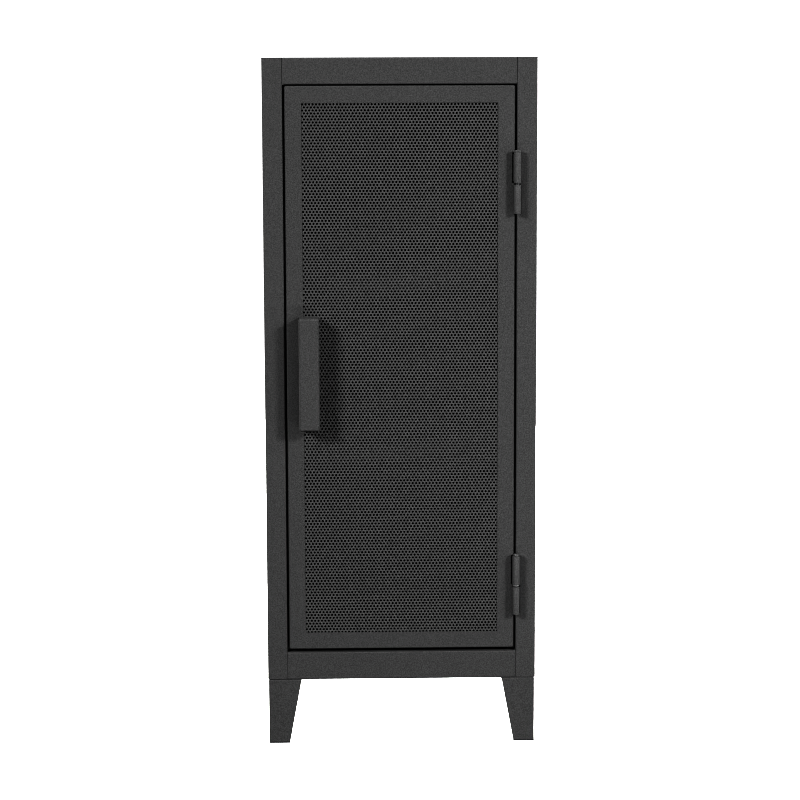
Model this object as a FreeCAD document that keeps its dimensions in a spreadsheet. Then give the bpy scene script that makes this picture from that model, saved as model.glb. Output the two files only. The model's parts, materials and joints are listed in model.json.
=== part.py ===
import FreeCAD, Part
import Sketcher
import os
from types import SimpleNamespace

# A metal locker on four folded legs, with one perforated door on two lift-off hinges.
# Frame: origin on the floor under the middle of the whole object, +Z up, the door faces -Y,
# and +X is to the right of someone who stands in front of it. Millimetres.

TINY = 1e-4

DRIVING = {
    # cabinet
    "width": 400,
    "depth": 400,
    "height": 1020,
    "sheet": 1,
    "bend": 2,
    "stile_width": 29.4,
    "top_rail": 38.6,
    "bottom_rail": 41.5,
    "stop_gap": 2,
    "stop_lip": 14,
    "rear_return": 29.4,
    "rear_flange": 20,
    "top_return": 15,
    "seam": 0.4,
    "stile_lift": 0,
    "leg_flange": 60,
    "flange_inset": 1.5,
    "fixing_spacing": 300,
    "fixing_from_top": 60,
    "fixing_radius": 3.5,
    # legs
    "leg_height": 98,
    "leg_sheet": 2,
    "leg_bend": 2.5,
    "leg_inset": 1,
    "leg_top_width": 49,
    "leg_foot_width": 31,
    "glide_height": 2,
    "bolt_near": 15,
    "bolt_far": 34,
    "bolt_radius": 3,
    "bolt_clearance": 0.3,
    "bolt_head_radius": 5.5,
    "bolt_head_height": 4,
    "nut_radius": 5.5,
    "nut_height": 5,
    "thread_clearance": 0.05,
    "bolt_tip": 1.5,
    # shelves and their uprights
    "upright_width": 20,
    "upright_depth": 7,
    "upright_front": 44,
    "upright_back": 30,
    "upright_top_gap": 12,
    "slot_width": 12,
    "slot_height": 4,
    "slot_pitch": 32,
    "slot_first": 26,
    "shelf_edge": 25,
    "shelf_side_gap": 2.5,
    "shelf_front": 42,
    "shelf_back_gap": 4,
    "lower_slot": 8,
    "upper_slot": 16,
    "clip_width": 10,
    "clip_plate": 2,
    "clip_tall": 16,
    "clip_ledge": 9,
    "clip_hook": 3,
    "tongue_height": 3,
    # door
    "door_gap_side": 3,
    "door_gap_top": 1.7,
    "door_gap_bottom": 4.9,
    "door_thickness": 18,
    "door_corner": 3,
    "door_back_lip": 20,
    "strip_side": 24.5,
    "strip_top": 25,
    "strip_bottom": 25.2,
    "panel_overlap": 8,
    # handle
    "handle_width": 30,
    "handle_height": 165.5,
    "handle_reach": 35,
    "handle_sheet": 2,
    "handle_bend": 3.3,
    "handle_inset": 18.45,
    "handle_drop": 0.9,
    # hinges
    "hinge_from_top": 142.7,
    "hinge_from_bottom": 95.9,
    "knuckle_radius": 5.25,
    "knuckle_length": 43.5,
    "knuckle_gap": 4.45,
    "pin_radius": 3,
    "pin_clearance": 0.05,
    "pin_engagement": 36,
    "washer_radius": 4.6,
    "washer_thickness": 1.5,
    "washer_gap": 0.1,
    "cap_radius": 4.4,
    "cap_height": 4,
    "cap_dome": 2.2,
    "leaf_height": 40,
    "leaf_depth": 5,
    "leaf_slot": 44,
    "leaf_gap": 1.7,
    # magnetic catch and bumpers
    "catch_height": 46,
    "catch_screw_spacing": 32,
    "catch_body_depth": 13,
    "catch_wall": 1.5,
    "magnet_height": 27,
    "catch_side": 1,
    "pole_thickness": 1.5,
    "pole_proud": 0.4,
    "strike_gap": 0.3,
    "strike_thickness": 1.2,
    "strike_height": 38,
    "rivet_spacing": 29,
    "screw_radius": 1.5,
    "screw_clearance": 0.05,
    "screw_head_radius": 2.8,
    "screw_head_height": 1.8,
    "bumper_radius": 5,
    "bumper_gap": 0.2,
    "bumper_inset": 60,
}

doc = FreeCAD.newDocument("locker")
sheet = doc.addObject("Spreadsheet::Sheet", "Size")
for row, (alias, value) in enumerate(DRIVING.items(), start=1):
    sheet.set(f"A{row}", alias)
    sheet.set(f"B{row}", str(value))
    sheet.setAlias(f"B{row}", alias)
doc.recompute()


class Measure(str):
    """An expression of the sheet's cells that adds, subtracts, multiplies and divides like a number."""

    def __add__(self, other):
        return Measure(f"({self} + {other})")

    def __radd__(self, other):
        return Measure(f"({other} + {self})")

    def __sub__(self, other):
        return Measure(f"({self} - {other})")

    def __rsub__(self, other):
        return Measure(f"({other} - {self})")

    def __mul__(self, other):
        return Measure(f"({self} * {other})")

    __rmul__ = __mul__

    def __truediv__(self, other):
        return Measure(f"({self} / {other})")

    def __neg__(self):
        return Measure(f"(-1 * {self})")


size = SimpleNamespace(**{alias: Measure(f"Size.{alias}") for alias in DRIVING})
pieces = []


def number(measure):
    """The value of an expression, for what a sketch or a search needs as a plain number."""
    return float(sheet.evalExpression(str(measure)))


def named(piece, label):
    """Gives a finished sub-part the label that names its file."""
    piece.Label = label
    pieces.append(piece)
    return piece


def place(piece, corner):
    """Binds the place of an object to three expressions."""
    for axis, measure in zip("xyz", corner):
        piece.setExpression(f"Placement.Base.{axis}", str(measure))
    return piece


# Bodies, sketches and features


def body(label, corner):
    """A body that stands at a corner given by expressions."""
    return named(place(doc.addObject("PartDesign::Body", label), corner), label)


def sketch_on(piece, role, offset=(0, 0, 0)):
    """A sketch on an origin plane of the body. Its own origin is moved by the offset in the plane's axes."""
    plane = next(f for f in piece.Origin.OriginFeatures if f.Role == role)
    sketch = piece.newObject("Sketcher::SketchObject", f"{piece.Name}_sketch")
    sketch.AttachmentSupport = [(plane, "")]
    sketch.MapMode = "FlatFace"
    for axis, measure in zip("xyz", offset):
        sketch.setExpression(f"AttachmentOffset.Base.{axis}", str(measure))
    return sketch


def pin_point(sketch, element, point, corner):
    """Fixes a point of a sketch at two expressions, each measured from the sketch's origin."""
    for kind, axis, measure in (("DistanceX", -2, corner[0]), ("DistanceY", -1, corner[1])):
        value = number(measure)
        if abs(value) < TINY:
            sketch.addConstraint(Sketcher.Constraint("PointOnObject", element, point, axis))
        elif value > 0:
            place_at = sketch.addConstraint(Sketcher.Constraint(kind, -1, 1, element, point, value))
            sketch.setExpression(f"Constraints[{place_at}]", str(measure))
        else:
            place_at = sketch.addConstraint(Sketcher.Constraint(kind, element, point, -1, 1, -value))
            sketch.setExpression(f"Constraints[{place_at}]", f"-1 * {measure}")


def outline(sketch, corners):
    """A closed outline of straight runs through corners that are given as pairs of expressions."""
    points = [FreeCAD.Vector(number(u), number(v), 0) for u, v in corners]
    for start, end in zip(points, points[1:] + points[:1]):
        sketch.addGeometry(Part.LineSegment(start, end))
    for index, corner in enumerate(corners):
        after = (index + 1) % len(corners)
        sketch.addConstraint(Sketcher.Constraint("Coincident", index, 2, after, 1))
        pin_point(sketch, index, 1, corner)
    return sketch


def rectangle(sketch, across, up):
    """A rectangle from the sketch's origin."""
    return outline(sketch, [(0, 0), (across, 0), (across, up), (0, up)])


def circles(sketch, centres, radius):
    """Round holes of one radius at centres that are given as pairs of expressions."""
    for index, centre in enumerate(centres):
        point = FreeCAD.Vector(number(centre[0]), number(centre[1]), 0)
        sketch.addGeometry(Part.Circle(point, FreeCAD.Vector(0, 0, 1), number(radius)))
        pin_point(sketch, index, 3, centre)
        place_at = sketch.addConstraint(Sketcher.Constraint("Radius", index, number(radius)))
        sketch.setExpression(f"Constraints[{place_at}]", str(radius))
    return sketch


def pad(piece, sketch, length, reverse=False):
    """Material added from a sketch along its normal, or against it."""
    feature = piece.newObject("PartDesign::Pad", f"{piece.Name}_pad")
    feature.Profile = sketch
    feature.setExpression("Length", str(length))
    feature.Reversed = reverse
    doc.recompute()
    return feature


def pocket(piece, sketch, length, reverse=False):
    """Material removed from a sketch against its normal, or along it. It has to remove some."""
    before = piece.Shape.Volume
    feature = piece.newObject("PartDesign::Pocket", f"{piece.Name}_pocket")
    feature.Profile = sketch
    feature.setExpression("Length", str(length))
    feature.Reversed = reverse
    doc.recompute()
    if piece.Shape.Volume > before - TINY:
        raise ValueError(f"{piece.Label}: a pocket removes nothing")
    return feature


def round_edges(piece, base, edges, radius):
    """Rounds the named edges of a feature."""
    feature = piece.newObject("PartDesign::Fillet", f"{piece.Name}_round")
    feature.Base = (base, edges)
    feature.setExpression("Radius", str(radius))
    doc.recompute()
    return feature


def edges_through(feature, sketch, corners):
    """The straight edges that a pad drew out from the given corners of its sketch."""
    normal = sketch.Placement.Rotation.multVec(FreeCAD.Vector(0, 0, 1))
    points = [sketch.Placement.multVec(FreeCAD.Vector(number(u), number(v), 0)) for u, v in corners]
    names = []
    for index, edge in enumerate(feature.Shape.Edges, start=1):
        if edge.Curve.TypeId != "Part::GeomLine" or edge.Curve.Direction.cross(normal).Length > TINY:
            continue
        start = edge.Vertexes[0].Point
        if any((start - point).cross(normal).Length < TINY for point in points):
            names.append(f"Edge{index}")
    return names


def edges_in_plane(feature, axis, value):
    """The edges that lie whole in the plane where one coordinate has the given value."""
    names = []
    for index, edge in enumerate(feature.Shape.Edges, start=1):
        box = edge.BoundBox
        low = (box.XMin, box.YMin, box.ZMin)[axis]
        high = (box.XMax, box.YMax, box.ZMax)[axis]
        if abs(low - value) < TINY and abs(high - value) < TINY:
            names.append(f"Edge{index}")
    return names


HEADINGS = {"+x": (1, 0), "-x": (-1, 0), "+y": (0, 1), "-y": (0, -1)}


def folded(piece, sketch, path, thickness, bend, length, left=True, reverse=False):
    """A sheet folded along a path of square turns and drawn out along the sketch's normal.

    The path starts at the sketch's origin and follows the outer face. The thickness lies to the left
    of the way the path goes, or to the right. Every fold gets the outer radius bend on one face and
    bend less the thickness on the other.
    """
    hand = 1 if left else -1
    headings = [HEADINGS[step] for step, run in path]
    outer = [(Measure("0"), Measure("0"))]
    for (across, up), (step, run) in zip(headings, path):
        u, v = outer[-1]
        outer.append((u + run * across, v + run * up))
    turns = [hand * (a[0] * b[1] - a[1] * b[0]) for a, b in zip(headings, headings[1:])]
    inner = []
    for index, (u, v) in enumerate(outer):
        beside = {headings[max(index - 1, 0)], headings[min(index, len(headings) - 1)]}
        shift_u = sum(-hand * heading[1] for heading in beside)
        shift_v = sum(hand * heading[0] for heading in beside)
        inner.append((u + thickness * shift_u, v + thickness * shift_v))
    outline(sketch, outer + inner[::-1])
    feature = pad(piece, sketch, length, reverse)
    tight, wide = [], []
    for turn, out_corner, in_corner in zip(turns, outer[1:-1], inner[1:-1]):
        wide.append(out_corner if turn > 0 else in_corner)
        tight.append(in_corner if turn > 0 else out_corner)
    feature = round_edges(piece, feature, edges_through(feature, sketch, wide), bend)
    return round_edges(piece, feature, edges_through(feature, sketch, tight), bend - thickness)


# Blocks, rods and groups


def block(corner, extent):
    """A block from its lowest corner."""
    solid = place(doc.addObject("Part::Box", "block"), corner)
    for side, measure in zip(("Length", "Width", "Height"), extent):
        solid.setExpression(side, str(measure))
    return solid


def rod(base, radius, length, axis="z"):
    """A round rod that stands on a base point and runs along +Z or along +Y."""
    solid = place(doc.addObject("Part::Cylinder", "rod"), base)
    solid.setExpression("Radius", str(radius))
    solid.setExpression("Height", str(length))
    if axis == "y":
        solid.Placement.Rotation = FreeCAD.Rotation(FreeCAD.Vector(1, 0, 0), -90)
    return solid


def hexagon(base, radius, length):
    """A six-sided prism that stands on a base point."""
    solid = place(doc.addObject("Part::Prism", "hexagon"), base)
    solid.Polygon = 6
    solid.setExpression("Circumradius", str(radius))
    solid.setExpression("Height", str(length))
    return solid


def joined(*solids):
    """One solid from several that overlap or share a face."""
    fuse = doc.addObject("Part::MultiFuse", "joined")
    fuse.Shapes = list(solids)
    fuse.Refine = True
    return fuse


def cut(base, *tools):
    """What is left of a solid when others are taken out of it."""
    result = doc.addObject("Part::Cut", "cut")
    result.Base = base
    result.Tool = tools[0] if len(tools) == 1 else joined(*tools)
    return result


def group(label, solids):
    """Identical small pieces that share one file."""
    compound = doc.addObject("Part::Compound", label)
    compound.Links = solids
    return named(compound, label)


# Places that several pieces share

front = -(size.depth - size.handle_reach) / 2
half_width = size.width / 2
half_opening = half_width - size.stile_width
opening_bottom = size.leg_height + size.bottom_rail
opening_top = size.height - size.top_rail
rail_half = half_opening - size.seam
inner_wall = half_width - size.sheet
inner_bend = size.bend - size.sheet
jamb_depth = size.door_thickness + size.stop_gap
under_top = size.height - size.sheet
SIDES = {"left": -1, "right": 1}


# Cabinet sheets


def side_panel(side, sign):
    """Rear return, wall, stile, jamb and stop lip, folded from one sheet and seen here from above.

    A notch ends the jamb and the lip on the floor of the locker.
    """
    inward, outward = ("+x", "-x") if sign < 0 else ("-x", "+x")
    start = (half_width - size.rear_return) * sign
    bottom = size.leg_height + size.sheet + size.stile_lift
    piece = body(f"side_panel_{side}", (start, front + size.depth, bottom))
    path = [
        (outward, size.rear_return),
        ("-y", size.depth),
        (inward, size.stile_width),
        ("+y", jamb_depth),
        (inward, size.stop_lip),
    ]
    sketch = sketch_on(piece, "XY_Plane")
    folded(piece, sketch, path, size.sheet, size.bend, under_top - bottom, left=sign < 0)
    jamb_back = half_opening * sign + size.sheet * sign - start
    notch = sketch_on(piece, "XY_Plane", (jamb_back, size.bend - size.depth, 0))
    rectangle(notch, (size.stop_lip + size.sheet) * -sign, jamb_depth + size.sheet - size.bend)
    pocket(piece, notch, opening_bottom - bottom, reverse=True)
    if side == "left":
        screw_holes = [(screw_x - start, screw_z - bottom) for screw_z in screw_heights]
        drill = sketch_on(piece, "XZ_Plane", (0, 0, size.depth - jamb_depth))
        circles(drill, screw_holes, size.screw_radius + size.screw_clearance)
        pocket(piece, drill, size.sheet)
    else:
        for split in HINGES.values():
            leaf_slot(piece, sign, frame_knuckle_middle(split), (start, size.depth, bottom))


def top_panel():
    """Rear flange, top, front rail, jamb and a stiffening return, with a strip over each side panel."""
    piece = body("top_panel", (-rail_half, front, size.height))
    path = [
        ("+y", size.rear_flange),
        ("-x", size.depth),
        ("-y", size.top_rail),
        ("+x", jamb_depth - inner_bend),
        ("+y", size.top_return),
    ]
    sketch = sketch_on(piece, "YZ_Plane", (size.depth, -size.rear_flange, 0))
    folded(piece, sketch, path, size.sheet, size.bend, rail_half * 2)
    for start in (rail_half - half_width, rail_half * 2):
        strip = sketch_on(piece, "XY_Plane", (start, 0, 0))
        pad(piece, rectangle(strip, half_width - rail_half, size.depth), size.sheet, reverse=True)


def bottom_panel():
    """Floor, front rail and rear flange, with returns underneath that the legs are bolted to."""
    piece = body("bottom_panel", (-rail_half, front, size.leg_height))
    path = [
        ("+x", size.leg_flange),
        ("+y", size.bottom_rail),
        ("-x", size.depth),
        ("-y", size.bottom_rail),
        ("+x", size.leg_flange),
    ]
    sketch = sketch_on(piece, "YZ_Plane", (size.depth - size.leg_flange, 0, 0))
    folded(piece, sketch, path, size.sheet, size.bend, rail_half * 2)
    behind_lip = jamb_depth + size.sheet
    floor_run = size.depth - size.bend - behind_lip
    flange_run = size.leg_flange - size.flange_inset
    flange_reach = half_width - size.flange_inset - rail_half
    left, right = (rail_half - inner_wall, -flange_reach), (rail_half * 2, rail_half * 2)
    for floor_start, flange_start in (left, right):
        strip = sketch_on(piece, "XY_Plane", (floor_start, behind_lip, size.bottom_rail - size.sheet))
        pad(piece, rectangle(strip, inner_wall - rail_half, floor_run), size.sheet)
        for run_start in (size.flange_inset, size.depth - size.leg_flange):
            flange = sketch_on(piece, "XY_Plane", (flange_start, run_start, 0))
            pad(piece, rectangle(flange, flange_reach, flange_run), size.sheet)
    drill = sketch_on(piece, "XY_Plane", (rail_half, -front, 0))
    circles(drill, bolt_places, size.bolt_radius + size.bolt_clearance)
    pocket(piece, drill, size.sheet, reverse=True)


def back_panel():
    """A flat sheet in front of the rear returns, with two holes for fixing the locker to a wall."""
    half_back = inner_wall - inner_bend
    rise = under_top - inner_bend - opening_bottom
    piece = body("back_panel", (-half_back, front + size.depth - size.sheet, opening_bottom))
    pad(piece, rectangle(sketch_on(piece, "XZ_Plane"), half_back * 2, rise), size.sheet)
    drill = sketch_on(piece, "XZ_Plane", (half_back, size.height - size.fixing_from_top - opening_bottom, 0))
    half = size.fixing_spacing / 2
    circles(drill, [(-half, 0), (half, 0)], size.fixing_radius)
    pocket(piece, drill, size.sheet, reverse=True)


# Legs

ENDS = {"front": -1, "rear": 1}
middle = front + size.depth / 2
leg_out_x = half_width - size.leg_inset
leg_out_y = size.depth / 2 - size.leg_inset
CORNERS = [(f"{end}_{side}", sx, sy) for end, sy in ENDS.items() for side, sx in SIDES.items()]


def leg_point(sx, sy, from_x, from_y):
    """A place on a leg's top plate, measured inward from the leg's two outer faces."""
    return ((leg_out_x - from_x) * sx, middle + (leg_out_y - from_y) * sy)


bolt_places = []
for corner_name, sx, sy in CORNERS:
    bolt_places.append(leg_point(sx, sy, size.bolt_near, size.bolt_near))
    bolt_places.append(leg_point(sx, sy, size.bolt_far, size.bolt_far))


def leg(name, sx, sy):
    """Two tapered flanges that meet at the outer corner, under a square top plate with two bolt holes."""
    corner = (leg_out_x * sx, middle + leg_out_y * sy, size.leg_height)
    piece = body(f"leg_{name}", corner)
    drop = -(size.leg_height - size.glide_height)

    def taper(sign):
        top, foot = size.leg_top_width * -sign, size.leg_foot_width * -sign
        return [(0, 0), (top, 0), (foot, drop), (0, drop)]

    face = outline(sketch_on(piece, "XZ_Plane"), taper(sx))
    pad(piece, face, size.leg_sheet, reverse=sy < 0)
    flank = outline(sketch_on(piece, "YZ_Plane"), taper(sy))
    pad(piece, flank, size.leg_sheet, reverse=sx > 0)
    plate = sketch_on(piece, "XY_Plane")
    rectangle(plate, size.leg_top_width * -sx, size.leg_top_width * -sy)
    feature = pad(piece, plate, size.leg_sheet, reverse=True)
    upright = edges_through(feature, plate, [(0, 0)])
    top = [edge for edge in edges_in_plane(feature, 2, 0.0) if outer_edge(feature, edge)]
    round_edges(piece, feature, upright + top, size.leg_bend)
    drill = sketch_on(piece, "XY_Plane")
    holes = [(run * -sx, run * -sy) for run in (size.bolt_near, size.bolt_far)]
    circles(drill, holes, size.bolt_radius + size.bolt_clearance)
    pocket(piece, drill, size.leg_sheet)


def outer_edge(feature, name):
    """Whether an edge of a leg's top plate lies on one of the leg's two outer faces."""
    box = feature.Shape.getElement(name).BoundBox
    on_face = max(abs(box.YMin), abs(box.YMax)) < TINY
    on_flank = max(abs(box.XMin), abs(box.XMax)) < TINY
    return on_face or on_flank


def foot_glide(name, sx, sy):
    """A plastic edge under the two flanges of a leg."""
    piece = body(f"foot_glide_{name}", (leg_out_x * sx, middle + leg_out_y * sy, 0))
    long_x, long_y = size.leg_foot_width * -sx, size.leg_foot_width * -sy
    thin_x, thin_y = size.leg_sheet * -sx, size.leg_sheet * -sy
    corners = [(0, 0), (long_x, 0), (long_x, thin_y), (thin_x, thin_y), (thin_x, long_y), (0, long_y)]
    pad(piece, outline(sketch_on(piece, "XY_Plane"), corners), size.glide_height)


def leg_fasteners():
    """Hexagon bolts from below each leg's top plate, and their nuts on the bottom panel's flange."""
    seat = size.leg_height - size.leg_sheet
    grip = size.leg_sheet + size.sheet
    bolts, nuts = [], []
    for x, y in bolt_places:
        head = hexagon((x, y, seat - size.bolt_head_height), size.bolt_head_radius, size.bolt_head_height)
        shank = rod((x, y, seat), size.bolt_radius, grip + size.nut_height + size.bolt_tip)
        bolts.append(joined(head, shank))
        nut = hexagon((x, y, seat + grip), size.nut_radius, size.nut_height)
        bore = rod((x, y, seat + grip), size.bolt_radius + size.thread_clearance, size.nut_height)
        nuts.append(cut(nut, bore))
    group("leg_bolts", bolts)
    group("leg_nuts", nuts)


# Shelves

upright_length = opening_top - opening_bottom - size.upright_top_gap
upright_face = inner_wall - size.upright_depth
UPRIGHTS = {"front": size.upright_front, "rear": size.depth - size.upright_back - size.upright_width}


def shelf_upright(end, side, sign, run):
    """A channel on the side wall with a row of slots for the shelf clips."""
    start = (inner_wall * sign, front + run, opening_bottom)
    piece = body(f"shelf_upright_{end}_{side}", start)
    inward, outward = ("+x", "-x") if sign < 0 else ("-x", "+x")
    path = [(inward, size.upright_depth), ("+y", size.upright_width), (outward, size.upright_depth)]
    sketch = sketch_on(piece, "XY_Plane")
    folded(piece, sketch, path, size.sheet, size.bend, upright_length, left=sign < 0)
    web = (size.upright_depth - size.sheet) * -sign
    margin = (size.upright_width - size.slot_width) / 2
    slot = sketch_on(piece, "YZ_Plane", (margin, size.slot_first, web))
    rectangle(slot, size.slot_width, size.slot_height)
    first = pocket(piece, slot, size.sheet, reverse=sign < 0)
    row = piece.newObject("PartDesign::LinearPattern", f"{piece.Name}_row")
    row.Originals = [first]
    row.Direction = (slot, ["V_Axis"])
    steps = Measure(f"floor({(upright_length - size.slot_first * 2) / size.slot_pitch})")
    row.setExpression("Length", str(steps * size.slot_pitch))
    row.setExpression("Occurrences", str(steps + 1))
    piece.Tip = row
    doc.recompute()


def shelf(name, slot):
    """A tray turned upside down, which rests with its rim on four clips."""
    seat = opening_bottom + size.slot_first + size.slot_pitch * slot
    half = upright_face - size.shelf_side_gap
    run = size.depth - size.sheet * 2 - size.shelf_back_gap - size.shelf_front
    piece = body(f"shelf_{name}", (-half, front + size.shelf_front, seat))
    tray = sketch_on(piece, "XY_Plane")
    feature = pad(piece, rectangle(tray, half * 2, run), size.shelf_edge)
    rim = edges_in_plane(feature, 2, number(size.shelf_edge))
    upright = edges_through(feature, tray, [(0, 0), (half * 2, 0), (half * 2, run), (0, run)])
    round_edges(piece, feature, rim + upright, size.bend)
    hollow = sketch_on(piece, "XY_Plane", (size.sheet, size.sheet, 0))
    rectangle(hollow, (half - size.sheet) * 2, run - size.sheet * 2)
    pocket(piece, hollow, size.shelf_edge - size.sheet, reverse=True)
    clips = []
    for sign in SIDES.values():
        for upright_run in UPRIGHTS.values():
            clips.append(shelf_clip(sign, upright_run, seat))
    group(f"shelf_clips_{name}", clips)


def shelf_clip(sign, upright_run, seat):
    """A plate on the upright, a ledge under the shelf's rim and a hook through the slot."""
    y = front + upright_run + (size.upright_width - size.clip_width) / 2

    def slab(near, far, low, high):
        """A slab between two distances from the upright's face, and between two heights."""
        start = upright_face - far if sign > 0 else near - upright_face
        return block((start, y, low), (far - near, size.clip_width, high - low))

    ledge = slab(Measure("0"), size.clip_ledge, seat - size.clip_plate, seat)
    plate = slab(Measure("0"), size.clip_plate, seat - size.clip_tall, seat)
    tongue_top = seat + size.tongue_height
    tongue = slab(-(size.sheet + size.clip_hook), Measure("0"), seat, tongue_top)
    neck = slab(Measure("0"), size.clip_plate, seat - size.clip_plate, tongue_top)
    return joined(ledge, plate, tongue, neck)


# Door

door_left = -half_opening + size.door_gap_side
door_width = (half_opening - size.door_gap_side) * 2
door_bottom = opening_bottom + size.door_gap_bottom
door_top = opening_top - size.door_gap_top
door_height = door_top - door_bottom
door_middle = (door_top + door_bottom) / 2
window_half = door_width / 2 - size.strip_side
window_bottom = door_bottom + size.strip_bottom
window_top = door_top - size.strip_top


def door_frame():
    """A folded pan: front sheet with a window, four returns, and lips that turn in behind."""
    piece = body("door_frame", (door_left, front, door_bottom))
    face = sketch_on(piece, "XZ_Plane")
    feature = pad(piece, rectangle(face, door_width, door_height), size.door_thickness, reverse=True)
    corners = [(0, 0), (door_width, 0), (door_width, door_height), (0, door_height)]
    feature = round_edges(piece, feature, edges_through(feature, face, corners), size.door_corner)
    rims = edges_in_plane(feature, 1, 0.0) + edges_in_plane(feature, 1, number(size.door_thickness))
    round_edges(piece, feature, rims, size.bend)
    hollow = piece.newObject("PartDesign::SubtractiveBox", "door_hollow")
    hollow.setExpression("Length", str(door_width - size.sheet * 2))
    hollow.setExpression("Width", str(size.door_thickness - size.sheet * 2))
    hollow.setExpression("Height", str(door_height - size.sheet * 2))
    place(hollow, (size.sheet, size.sheet, size.sheet))
    doc.recompute()
    rear = sketch_on(piece, "XZ_Plane", (size.door_back_lip, size.door_back_lip, -size.door_thickness))
    rectangle(rear, door_width - size.door_back_lip * 2, door_height - size.door_back_lip * 2)
    pocket(piece, rear, size.sheet, reverse=True)
    window = sketch_on(piece, "XZ_Plane", (size.strip_side, size.strip_bottom, 0))
    rectangle(window, window_half * 2, window_top - window_bottom)
    pocket(piece, window, size.sheet)
    strike_middle = (strike_x - door_left, door_middle - door_bottom, -size.door_thickness)
    drill = sketch_on(piece, "XZ_Plane", strike_middle)
    circles(drill, rivet_places, size.screw_radius + size.screw_clearance)
    pocket(piece, drill, size.sheet, reverse=True)
    for split in HINGES.values():
        leaf_slot(piece, -1, door_knuckle_middle(split), (door_left, 0, door_bottom))


def door_perforated_panel():
    """The sheet behind the window, welded to the back of the frame's front sheet."""
    corner = (-window_half - size.panel_overlap, front + size.sheet, window_bottom - size.panel_overlap)
    piece = body("door_perforated_panel", corner)
    across = (window_half + size.panel_overlap) * 2
    up = window_top - window_bottom + size.panel_overlap * 2
    pad(piece, rectangle(sketch_on(piece, "XZ_Plane"), across, up), size.sheet, reverse=True)


def door_handle():
    """A pressed box, open at its back, that stands on the frame's strip and on the perforated panel."""
    left = door_left + size.handle_inset
    bottom = door_middle - size.handle_drop - size.handle_height / 2
    piece = body("door_handle", (left, front, bottom))
    across, up = size.handle_width, size.handle_height
    foot = sketch_on(piece, "XZ_Plane", (0, 0, -size.sheet))
    feature = pad(piece, rectangle(foot, across, up), size.handle_reach + size.sheet)
    upright = edges_through(feature, foot, [(0, 0), (across, 0), (across, up), (0, up)])
    face = edges_in_plane(feature, 1, -number(size.handle_reach))
    round_edges(piece, feature, upright + face, size.handle_bend)
    strip = sketch_on(piece, "XZ_Plane")
    pocket(piece, rectangle(strip, -window_half - left, up), size.sheet)
    hollow = sketch_on(piece, "XZ_Plane", (size.handle_sheet, size.handle_sheet, -size.sheet))
    rectangle(hollow, across - size.handle_sheet * 2, up - size.handle_sheet * 2)
    pocket(piece, hollow, size.handle_reach + size.sheet - size.handle_sheet, reverse=True)


# Hinges

hinge_x = half_opening
hinge_standoff = size.knuckle_radius + size.knuckle_gap
hinge_y = front - hinge_standoff
HINGES = {"upper": door_top - size.hinge_from_top, "lower": door_bottom + size.hinge_from_bottom}


leaf_near = size.door_gap_side + size.sheet
leaf_thickness = size.knuckle_radius - leaf_near


def frame_knuckle_middle(split):
    """The height of the middle of a frame knuckle, which ends at the split."""
    return split - size.knuckle_length / 2


def door_knuckle_middle(split):
    """The height of the middle of a door knuckle, which starts above the washer."""
    return split + size.washer_thickness + size.washer_gap + size.knuckle_length / 2


def leaf(sign, middle_z):
    """The leaf of a knuckle: it goes through a slot in the door's sheet or the stile's, and is welded there."""
    start = hinge_x + leaf_near if sign > 0 else hinge_x - size.knuckle_radius
    extent = (leaf_thickness, hinge_standoff + size.leaf_depth, size.leaf_height)
    return block((start, hinge_y, middle_z - size.leaf_height / 2), extent)


def leaf_slot(piece, sign, middle_z, corner):
    """The slot for a leaf. It stays open beside the leaf, on the side away from the hinge's axis.

    The corner gives the body's own place along X, how far its front lies before it, and its place along Z.
    """
    across = leaf_thickness + size.leaf_gap
    start = hinge_x + leaf_near if sign > 0 else hinge_x - leaf_near - across
    low = middle_z - size.leaf_slot / 2
    slot = sketch_on(piece, "XZ_Plane", (start - corner[0], low - corner[2], corner[1]))
    pocket(piece, rectangle(slot, across, size.leaf_slot), size.sheet)


def hinge(name, split):
    """A lift-off hinge: frame knuckle with its pin below, washer, door knuckle and cap above."""
    bore = size.pin_radius + size.pin_clearance
    low = split - size.knuckle_length
    seat = split - size.pin_engagement
    frame_barrel = rod((hinge_x, hinge_y, low), size.knuckle_radius, size.knuckle_length)
    frame_bore = rod((hinge_x, hinge_y, seat), bore, size.pin_engagement)
    frame_knuckle = cut(joined(frame_barrel, leaf(1, frame_knuckle_middle(split))), frame_bore)
    named(frame_knuckle, f"hinge_{name}_frame_knuckle")
    pin = rod((hinge_x, hinge_y, seat), size.pin_radius, size.pin_engagement * 2)
    named(pin, f"hinge_{name}_pin")
    ring = rod((hinge_x, hinge_y, split), size.washer_radius, size.washer_thickness)
    ring_bore = rod((hinge_x, hinge_y, split), bore, size.washer_thickness)
    named(cut(ring, ring_bore), f"hinge_{name}_washer")
    door_low = split + size.washer_thickness + size.washer_gap
    door_barrel = rod((hinge_x, hinge_y, door_low), size.knuckle_radius, size.knuckle_length)
    door_bore = rod((hinge_x, hinge_y, door_low), bore, size.pin_engagement)
    door_knuckle = cut(joined(door_barrel, leaf(-1, door_knuckle_middle(split))), door_bore)
    named(door_knuckle, f"hinge_{name}_door_knuckle")
    cap(name, door_low + size.knuckle_length)


def cap(name, low):
    """The domed plug that closes the top of a door knuckle."""
    piece = body(f"hinge_{name}_cap", (hinge_x, hinge_y, low))
    disc = circles(sketch_on(piece, "XY_Plane"), [(0, 0)], size.cap_radius)
    feature = pad(piece, disc, size.cap_height)
    round_edges(piece, feature, edges_in_plane(feature, 2, number(size.cap_height)), size.cap_dome)


# Magnetic catch, strike and bumpers

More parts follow.
